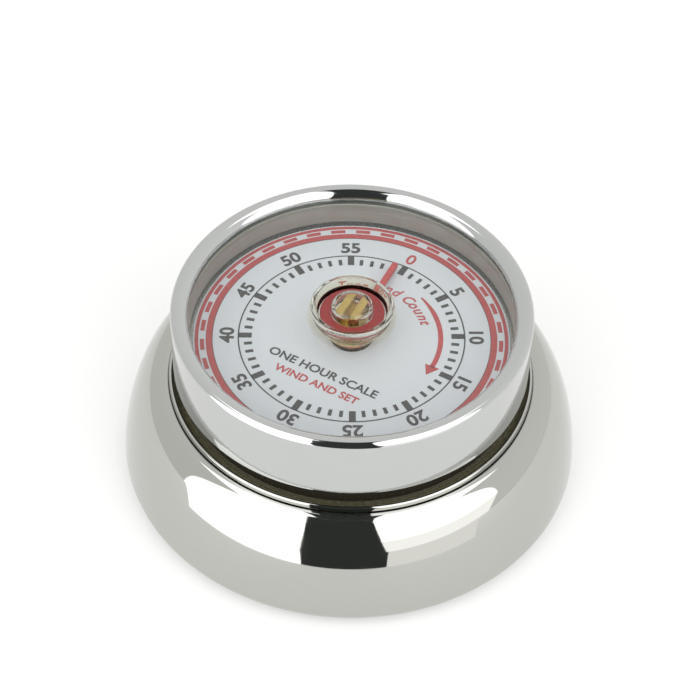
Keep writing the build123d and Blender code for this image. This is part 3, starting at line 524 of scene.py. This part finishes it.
def make_back():
    """The black moulded back with its screw wells."""
    thick = 1.6
    hole_r = MAGNET_R + 0.1
    groove = 27.2
    corners = [
        (hole_r, 0.0, 0.12),
        (groove - 0.5, 0.0, 0.08),
        (groove - 0.35, 0.3, 0.08),
        (groove + 0.35, 0.3, 0.08),
        (groove + 0.5, 0.0, 0.08),
        (BASE_R - 0.8, 0.0, 0.12),
        (BASE_R - 0.8, 0.8, 0.05),
        (BASE_R, 0.8, 0.05),
        (BASE_R, thick, 0.1),
        (MAGNET_R + 2.0, thick, 0.1),
        (MAGNET_R + 2.0, MAGNET_TOP, 0.1),
        (hole_r, MAGNET_TOP, 0.1),
    ]
    back = place("back", lathe(rounded(corners, 4)), BLACK_PLASTIC, "root", ["base_plate"])
    wells = bmesh.new()
    for spot in screw_spots():
        well = [spot + polar(SCREW_WELL_R, turn) for turn in range(0, 360, 6)]
        prism(well, -1.0, SCREW_WELL, maker=wells)
    cut(back, wells)
    return back


def screw_spots():
    """Centres of the four case screws."""
    return [polar(SCREW_CIRCLE_R, turn) for turn in range(0, 360, 90)]


def make_magnet():
    """The ferrite disc, with ground edges."""
    corners = [(0.0, 0.0, 0.0), (MAGNET_R, 0.0, 0.35), (MAGNET_R, MAGNET_TOP, 0.2), (0.0, MAGNET_TOP, 0.0)]
    return place("magnet_disc", lathe(rounded(corners)), FERRITE, "root", ["magnet"])


def make_back_screws():
    """Four slotted screws in the back's wells."""
    screws = bmesh.new()
    low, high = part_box("base_screws")
    bottom, top = low.z / MM, high.z / MM
    head_r = 1.8
    shank_r = 0.9
    for spot in screw_spots():
        corners = [(0.0, bottom, 0.0), (head_r, bottom, 0.3), (head_r, SCREW_WELL, 0.1),
                   (shank_r, SCREW_WELL, 0.0), (shank_r, top, 0.2), (0.0, top, 0.0)]
        part = lathe(rounded(corners, 5), spot, 40)
        mesh = bpy.data.meshes.new("screw")
        part.to_mesh(mesh)
        part.free()
        screws.from_mesh(mesh)
        bpy.data.meshes.remove(mesh)
    piece = place("back_screws", screws, SCREW_STEEL, "root", ["base_screws"])
    slots = bmesh.new()
    for spot, turn in zip(screw_spots(), (20, 75, 140, 5)):
        long, wide = polar(2.5, turn), polar(0.22, turn + 90)
        prism([spot + long + wide, spot - long + wide, spot - long - wide, spot + long - wide],
              bottom - 1, bottom + 0.45, maker=slots)
    cut(piece, slots)
    return piece


# ---- head -----------------------------------------------------------------------------------
def make_bezel():
    """The chrome bezel: straight wall, small outer corner, wide inner roll."""
    crest_r = BEZEL_R - RIM_ROUND
    wall_top = BEZEL_TOP - RIM_ROUND
    foot = [(BEZEL_WALL_R, BEZEL_BOTTOM, 0.1), (BEZEL_R, BEZEL_BOTTOM, 0.15)]
    outline = rounded(foot + [(BEZEL_R, wall_top - 0.02, 0.0), (BEZEL_WALL_R, wall_top, 0.0)], 6)[:-1]
    outline += arc((crest_r, wall_top), RIM_ROUND, RIM_ROUND, 0, 90, 16)
    outline += arc((crest_r, LENS_TOP), crest_r - RIM_INNER_R, RIM_ROLL_DEPTH, 90, 180, 24)[1:]
    outline.append(Vector((BEZEL_WALL_R, LENS_TOP)))
    return place("bezel_ring", lathe(outline), CHROME_BEZEL, "head", ["bezel"], sharp=50)


def make_lens():
    """The clear lens and its cup-shaped hub, moulded in one over the arbor's end."""
    lip = HUB_RIM - 0.5
    bore = ARBOR_R + 0.05
    bore_top = ARBOR_TOP + 0.1

    def hub(height):
        return HUB_BASE_R + (HUB_TOP_R - HUB_BASE_R) * (height - HUB_BASE) / (lip - HUB_BASE)

    corners = [
        (bore, HUB_BASE, 0.0),
        (HUB_BASE_R, HUB_BASE, 0.25),
        (hub(LENS_BOTTOM), LENS_BOTTOM, 0.2),
        (LENS_R, LENS_BOTTOM, 0.1),
        (LENS_R, LENS_TOP, 0.1),
        (hub(LENS_TOP), LENS_TOP, 0.2),
        (HUB_TOP_R, lip, 0.3),
        (HUB_TOP_R - 0.1, HUB_RIM, 0.25),
        (HUB_TOP_R - HUB_WALL, HUB_RIM, 0.2),
        (hub(HUB_FLOOR) - HUB_WALL, HUB_FLOOR, 0.3),
        (BOSS_R, HUB_FLOOR, 0.3),
        (BOSS_R, BOSS_TOP, 0.7),
        (0.0, BOSS_TOP, 0.0),
        (0.0, bore_top, 0.0),
        (bore, bore_top, 0.1),
    ]
    return place("lens_and_hub", lathe(rounded(corners, 8)), ACRYLIC, "head", ["lens"])


def make_insert():
    """The red ring on the floor of the hub's cup."""
    outer, low, high = extent("hub_insert")
    inner = BOSS_R + 0.03
    corners = [(inner, low, 0.0), (outer, low, 0.05), (outer, high, 0.1), (inner, high, 0.05)]
    maker = lathe(rounded(corners, 4))
    return place("red_insert", maker, INSERT_RED, "head", ["hub_insert"])


def make_lens_ring():
    """The dull metal ring between the dial and the lens."""
    corners = [
        (RIM_INNER_R, RING_BOTTOM, 0.15),
        (RING_R, RING_BOTTOM, 0.1),
        (RING_R, LENS_BOTTOM - 0.01, 0.1),
        (RIM_INNER_R, LENS_BOTTOM - 0.01, 0.15),
    ]
    return place("lens_seat", lathe(rounded(corners)), RING_METAL, "head", ["lens_ring"])


def make_pointer():
    """The red pointer, a disc with one arm."""
    neck = math.degrees(math.asin(POINTER_HALF / POINTER_HUB_R))
    round_hub = 360 - 2 * neck
    outline = [polar(POINTER_HUB_R, POINTER_ANGLE + neck + round_hub * step / 90) for step in range(91)]
    tip = polar(POINTER_REACH - POINTER_HALF, POINTER_ANGLE)
    outline += [tip + polar(POINTER_HALF, POINTER_ANGLE - 90 + 15 * step) for step in range(13)]
    maker = prism(outline, POINTER_BOTTOM, POINTER_TOP, 0.08)
    return place("red_pointer", maker, RED_ENAMEL, "head", ["pointer"])


def make_arbor():
    """The brass winding arbor: two flats and a slot that show in the hub."""
    maker = bmesh.new()
    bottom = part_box("main_arbor")[0].z / MM
    slot_floor = ARBOR_TOP - 1.8
    chord = math.degrees(math.asin(ARBOR_FLAT / ARBOR_R))
    ends = [(-chord, chord), (180 - chord, 180 + chord)]
    flats = []
    for start, end in ends:
        flats += [polar(ARBOR_R, POINTER_ANGLE + start + (end - start) * step / 16) for step in range(17)]
    prism(flats, POINTER_BOTTOM - 0.2, slot_floor, 0.0, maker)
    low = math.degrees(math.asin(ARBOR_SLOT / ARBOR_R))
    for side in (0, 180):
        turn = POINTER_ANGLE + side
        bar = [polar(ARBOR_R, turn + low + (chord - low) * step / 8) for step in range(9)]
        bar += [polar(ARBOR_R, turn + 180 - chord + (chord - low) * step / 8) for step in range(9)]
        prism(bar, slot_floor - 0.1, ARBOR_TOP, 0.1, maker)
    shaft = [polar(ARBOR_SHAFT_R, turn) for turn in range(0, 360, 6)]
    prism(shaft, bottom, POINTER_BOTTOM, 0.0, maker)
    return place("winding_arbor", maker, BRASS, "head", ["main_arbor"])


# ---- dial -----------------------------------------------------------------------------------
def make_dial():
    """The white dial."""
    corners = [
        (DIAL_HOLE_R, DIAL_BOTTOM, 0.0),
        (DIAL_R, DIAL_BOTTOM, 0.0),
        (DIAL_R, DIAL_TOP, 0.12),
        (DIAL_HOLE_R, DIAL_TOP, 0.08),
    ]
    return place("dial", lathe(rounded(corners)), DIAL_WHITE, "root", ["dial_face"])


def minute(mark):
    """The angle of a minute mark; the scale runs clockwise from 0 at +Y."""
    return 90 - 6 * mark


def flat_face(ink, points):
    """Adds a flat patch."""
    ink.faces.new([ink.verts.new((point.x * MM, point.y * MM, 0.0)) for point in points])


def band(ink, inner, outer, start=0.0, end=360.0):
    """Adds part of a ring."""
    steps = max(2, round(abs(end - start) / 2))
    turns = [start + (end - start) * step / steps for step in range(steps + 1)]
    for here, there in zip(turns, turns[1:]):
        flat_face(ink, [polar(inner, here), polar(outer, here), polar(outer, there), polar(inner, there)])


def tick(ink, turn, inner, outer, width):
    """Adds a straight mark that points at the centre."""
    side = polar(width / 2, turn + 90)
    near, far = polar(inner, turn), polar(outer, turn)
    flat_face(ink, [near - side, far - side, far + side, near + side])


def glyphs(text, height, heavy=0.0, slant=0.0):
    """The flat mesh of a line of text, centred, with its capitals as tall as asked."""
    curve = bpy.data.curves.new("line", "FONT")
    curve.body = text
    curve.size = height * MM / 0.729
    curve.offset = heavy * MM
    curve.shear = slant
    curve.align_x = "CENTER"
    curve.resolution_u = 5
    carrier = bpy.data.objects.new("line", curve)
    bpy.context.scene.collection.objects.link(carrier)
    bpy.context.view_layer.update()
    graph = bpy.context.evaluated_depsgraph_get()
    mesh = bpy.data.meshes.new_from_object(carrier.evaluated_get(graph))
    bpy.data.objects.remove(carrier)
    bpy.data.curves.remove(curve)
    return mesh


def stamp(ink, mesh, centre, turn, height, narrow=1.0):
    """Adds a line of text whose middle is at a point and whose top faces turn + 90."""
    mesh.transform(Matrix.Diagonal((narrow, 1.0, 1.0, 1.0)))
    mesh.transform(Matrix.Translation((0.0, -height / 2 * MM, 0.0)))
    mesh.transform(Matrix.Rotation(math.radians(turn), 4, "Z"))
    mesh.transform(Matrix.Translation((centre.x * MM, centre.y * MM, 0.0)))
    ink.from_mesh(mesh)
    bpy.data.meshes.remove(mesh)


def curved_text(ink, text, height, radius, middle, advance, heavy, slant):
    """Adds letters one by one clockwise along a circle, with their tops outward."""
    wide = {" ": 0.6, "t": 0.6}
    widths = [wide.get(letter, 1.0) * advance for letter in text]
    along = -sum(widths) / 2
    for letter, width in zip(text, widths):
        shift = math.degrees((along + width / 2) / radius)
        along += width
        if letter == " ":
            continue
        turn = middle - shift
        stamp(ink, glyphs(letter, height, heavy, slant), polar(radius, turn), turn - 90, height)


def make_print(name, ink, paint):
    """Raises the flat patches into a thin layer of ink on the dial."""
    bmesh.ops.remove_doubles(ink, verts=ink.verts, dist=1e-6)
    raised = bmesh.ops.extrude_face_region(ink, geom=list(ink.faces))
    for part in raised["geom"]:
        if isinstance(part, bmesh.types.BMVert):
            part.co.z += INK * 1.5 * MM
    for vert in ink.verts:
        vert.co.z += (DIAL_TOP - INK * 0.5) * MM
    return place(name, ink, paint, "root", sharp=20)


def make_black_print():
    """Numbers, minute scale and the line of text."""
    ink = bmesh.new()
    for mark in range(5, 60, 5):
        turn = minute(mark)
        number = glyphs(str(mark), NUMBER_HEIGHT, 0.09)
        stamp(ink, number, polar(NUMBER_CIRCLE_R, turn), turn - 90, NUMBER_HEIGHT, 1.06)
    band(ink, SCALE_OUTER_R - 0.12, SCALE_OUTER_R + 0.1)
    for mark in range(60):
        if mark % 5 == 0:
            tick(ink, minute(mark), SCALE_INNER_R, SCALE_OUTER_R, 1.0)
        else:
            tick(ink, minute(mark), SCALE_INNER_R, MINUTE_OUTER_R, 0.55)
    band(ink, BORDER_R - 0.1, BORDER_R)
    stamp(ink, glyphs("ONE HOUR SCALE", 1.5, 0.05), Vector((0.0, -8.4)), 0.0, 1.5, 1.06)
    return make_print("dial_print_black", ink, INK_BLACK)


def make_red_print():
    """The red border, the 0, the winding arrow and two lines of text."""
    ink = bmesh.new()
    band(ink, BORDER_R, 21.75)
    band(ink, 22.85, 23.4)
    for step in range(36):
        middle = minute(0) + 5 + 10 * step
        band(ink, 21.98, 22.62, middle - 2.85, middle + 2.85)
    zero = glyphs("0", NUMBER_HEIGHT, 0.06)
    stamp(ink, zero, polar(NUMBER_CIRCLE_R, minute(0)), 0.0, NUMBER_HEIGHT)
    tail, head = minute(0) - 23.0, minute(0) - 88.0
    steps = 32
    for step in range(steps):
        here = tail + (head - tail) * step / steps
        there = tail + (head - tail) * (step + 1) / steps
        half = ARROW_HALF * min(1.0, 0.35 + 0.65 * step / 8)
        half_there = ARROW_HALF * min(1.0, 0.35 + 0.65 * (step + 1) / 8)
        flat_face(ink, [polar(ARROW_R - half, here), polar(ARROW_R + half, here),
                        polar(ARROW_R + half_there, there), polar(ARROW_R - half_there, there)])
    barb = 1.15
    flat_face(ink, [polar(ARROW_R - barb, head + 1.0), polar(ARROW_R + barb, head + 1.0),
                    polar(ARROW_R, head - 7.5)])
    stamp(ink, glyphs("WIND AND SET", 1.35, 0.05), Vector((0.3, -10.9)), 0.0, 1.35, 1.05)
    curved_text(ink, "Turn and Count", 1.7, 11.5, 88, 1.42, 0.05, 0.3)
    return make_print("dial_print_red", ink, INK_RED)


# ---- stage ----------------------------------------------------------------------------------
def around(azimuth, elevation, radius):
    """A point in metres on a sphere about the object; azimuth 0 is the camera's side, + its right."""
    turn = math.radians(CAMERA_AZIMUTH + azimuth)
    rise = math.radians(elevation)
    flat = radius * math.cos(rise)
    return Vector((flat * math.sin(turn), -flat * math.cos(turn), radius * math.sin(rise)))


def glow(name, colour, strength):
    """A plain light-giving material."""
    made = bpy.data.materials.new(name)
    made.use_nodes = True
    tree = made.node_tree
    tree.nodes.clear()
    light = tree.nodes.new("ShaderNodeEmission")
    light.inputs["Color"].default_value = (*colour, 1.0)
    light.inputs["Strength"].default_value = strength
    end = tree.nodes.new("ShaderNodeOutputMaterial")
    tree.links.new(light.outputs["Emission"], end.inputs["Surface"])
    return made


def card(name, spots, light, lights_scene=True):
    """A studio card from a grid of points; the camera doesn't see it."""
    maker = bmesh.new()
    grid = [[maker.verts.new(spot) for spot in row] for row in spots]
    for row, above in zip(grid, grid[1:]):
        for index in range(len(row) - 1):
            maker.faces.new((row[index], row[index + 1], above[index + 1], above[index]))
    mesh = bpy.data.meshes.new(name)
    maker.to_mesh(mesh)
    maker.free()
    mesh.materials.append(light)
    made = bpy.data.objects.new(name, mesh)
    bpy.context.scene.collection.objects.link(made)
    made.visible_camera = False
    made.visible_transmission = False
    made.visible_diffuse = lights_scene
    made.visible_shadow = False
    return made


def sky_card(name, rows, radius, light, lights_scene=True):
    """A card that is a patch of a sphere; each row is an elevation and the azimuths of its two ends."""
    spots = []
    for low, high in zip(rows, rows[1:]):
        for step in range(5):
            elevation, left, right = (here + (there - here) * step / 4 for here, there in zip(low, high))
            azimuths = [left + (right - left) * part / 24 for part in range(25)]
            spots.append([around(azimuth, elevation, radius) for azimuth in azimuths])
    return card(name, spots, light, lights_scene)


def roof_card(name, left, right, light):
    """A card over the object, seen only in reflections; left and right are parts of its distance."""
    front, back = -0.16, 0.25
    spots = []
    for step in range(13):
        away = front + (back - front) * step / 12
        row = []
        for part in range(13):
            across = left + (right - left) * part / 12
            rise = Vector((0.0, 0.0, math.sqrt(1.0 - across ** 2 - away ** 2)))
            row.append((around(90.0, 0.0, across) + around(180.0, 0.0, away) + rise) * SOFTBOX_DISTANCE)
        spots.append(row)
    return card(name, spots, light, False)


def table_card(name, left, right, light):
    """A card just above the floor, laid along the paths that the case's side reflects."""
    rows = []
    for step in range(5):
        length = CARD_NEAR + (SOFTBOX_DISTANCE - CARD_NEAR) * step / 4
        row = []
        for part in range(17):
            azimuth = left + (right - left) * part / 16
            spot = around(azimuth / 2, 0.0, BODY_R * MM) + around(azimuth, 0.0, length)
            row.append(spot + Vector((0.0, 0.0, CARD_HEIGHT)))
        rows.append(row)
    return card(name, rows, light, False)


def make_stage():
    """A white floor, two large soft boxes that reach over the object, and the dark gap between them."""
    floor_material = Paint("studio_floor", (0.55, 0.55, 0.545), 0.0, 0.7)
    floor_material.vary_colour(floor_material.noise(0.02, 3.0), (0.54, 0.54, 0.535))
    floor_material.shader.inputs["Emission Color"].default_value = (1.0, 1.0, 0.995, 1.0)
    floor_material.shader.inputs["Emission Strength"].default_value = 0.32
    maker = bmesh.new()
    bmesh.ops.create_circle(maker, cap_ends=True, radius=3.0, segments=96)
    mesh = bpy.data.meshes.new("studio_floor")
    maker.to_mesh(mesh)
    maker.free()
    mesh.materials.append(floor_material.material)
    floor = bpy.data.objects.new("studio_floor", mesh)
    bpy.context.scene.collection.objects.link(floor)

    white = glow("softbox_white", (1.0, 1.0, 1.0), SOFTBOX_LIGHT)
    soft = glow("softbox_edge", (1.0, 1.0, 0.99), SOFTBOX_EDGE_LIGHT)
    pale = glow("table_pale", (1.0, 1.0, 0.98), TABLE_LIGHT)
    dark = glow("gap_dark", (0.9, 1.0, 0.95), GAP_LIGHT)
    left_rows = [(0.0, -80.0, -19.8), (20.0, -79.0, -19.8), (31.0, -78.0, -20.4), (42.0, -77.0, -21.8),
                 (54.0, -77.0, -24.4), (65.0, -78.0, -29.6), (72.0, -80.0, -37.0), (77.0, -84.0, -47.0)]
    right_rows = [(14.0, 15.5, 74.0), (28.0, 15.0, 76.0), (41.0, 15.1, 78.0), (52.5, 16.2, 80.0),
                  (60.0, 17.8, 82.0), (68.0, 20.4, 85.0), (74.0, 26.0, 88.0), (78.0, 34.0, 92.0)]
    right_edge_rows = [(0.0, 17.3, 66.0), (7.0, 16.2, 70.0), (14.0, 15.5, 74.0)]
    gap_rows = [(0.0, -30.0, 26.0), (50.0, -40.0, 36.0), (77.0, -70.0, 66.0)]
    roof_gap_rows = [(77.0, -180.0, 180.0), (90.0, -180.0, 180.0)]
    sky_card("softbox_left", left_rows, SOFTBOX_DISTANCE, white)
    sky_card("softbox_right", right_rows, SOFTBOX_DISTANCE, white)
    sky_card("softbox_right_edge", right_edge_rows, SOFTBOX_DISTANCE, soft)
    roof_card("roof_left", -0.5, -0.13, white)
    roof_card("roof_right", 0.11, 0.5, white)
    sky_card("gap_column", gap_rows, GAP_DISTANCE, dark, False)
    sky_card("gap_overhead", roof_gap_rows, ROOF_GAP_DISTANCE, dark, False)
    table_card("table_left", -80.0, -20.5, white)
    table_card("table_right", 18.5, 62.0, pale)
    table_card("table_gap", -20.5, 18.5, dark)


def make_world():
    """Pale surroundings, a little brighter towards the camera's right."""
    world = bpy.data.worlds.new("studio")
    bpy.context.scene.world = world
    world.use_nodes = True
    tree = world.node_tree
    back = tree.nodes["Background"]
    back.inputs["Color"].default_value = (1.0, 1.0, 0.985, 1.0)
    spot = tree.nodes.new("ShaderNodeTexCoord")
    side = tree.nodes.new("ShaderNodeVectorMath")
    side.operation = "DOT_PRODUCT"
    side.inputs[1].default_value = around(90.0, 0.0, 1.0)
    tree.links.new(spot.outputs["Generated"], side.inputs[0])
    strength = tree.nodes.new("ShaderNodeMapRange")
    strength.inputs["From Min"].default_value = -1.0
    strength.inputs["To Min"].default_value = 0.88
    strength.inputs["To Max"].default_value = 1.0
    tree.links.new(side.outputs["Value"], strength.inputs["Value"])
    tree.links.new(strength.outputs["Result"], back.inputs["Strength"])


def make_camera():
    """The camera at the photograph's viewing angle."""
    low, high = Vector(cad_box[0]), Vector(cad_box[1])
    centre = (low + high) / 2
    back = around(0.0, CAMERA_ELEVATION, 1.0)
    up = around(180.0, 90.0 - CAMERA_ELEVATION, 1.0)
    camera = bpy.data.objects.new("camera", bpy.data.cameras.new("camera"))
    bpy.context.scene.collection.objects.link(camera)
    camera.location = centre + back * CAMERA_DISTANCE * MM
    side = around(90.0, 0.0, 1.0)
    aim = centre + (up * CAMERA_AIM_UP + side * CAMERA_AIM_RIGHT) * MM - camera.location
    camera.rotation_mode = "QUATERNION"
    roll = Quaternion((0.0, 0.0, 1.0), math.radians(CAMERA_ROLL))
    camera.rotation_quaternion = aim.to_track_quat("-Z", "Y") @ roll
    camera.data.sensor_width = 36.0
    camera.data.lens = CAMERA_LENS
    camera.data.clip_start = 0.01
    camera.data.clip_end = 20.0
    bpy.context.scene.camera = camera


# ---- the CAD nodes that stay ----------------------------------------------------------------
SLOT_PAINTS = {
    "brass": BRASS,
    "plate_steel": STEEL,
    "screw_steel": SCREW_STEEL,
    "spring_steel": BLUED_STEEL,
    "bell_steel": BELL_STEEL,
    "black_plastic": BLACK_PLASTIC,
    "ferrite": FERRITE,
    "dark_drum": DRUM_DARK,
    "chrome_body": CHROME_BODY,
    "chrome_bezel": CHROME_BEZEL,
    "clear_plastic": ACRYLIC,
    "brushed_ring": RING_METAL,
    "red_pointer": RED_ENAMEL,
    "dial_white": DIAL_WHITE,
}


def paint_nodes():
    """Gives every CAD node the finish of its material slot."""
    for entry in frame["record"]["subparts"]:
        mesh = frame["nodes"][entry["node"]].data
        mesh.materials.clear()
        mesh.materials.append(SLOT_PAINTS[entry["material_slot"]])


make_camera()
paint_nodes()
make_body()
make_drum()
make_back()
make_magnet()
make_back_screws()
make_bezel()
make_lens()
make_insert()
make_lens_ring()
make_pointer()
make_arbor()
make_dial()
make_black_print()
make_red_print()
make_stage()
make_world()
bpy.context.scene.view_settings.view_transform = "Standard"
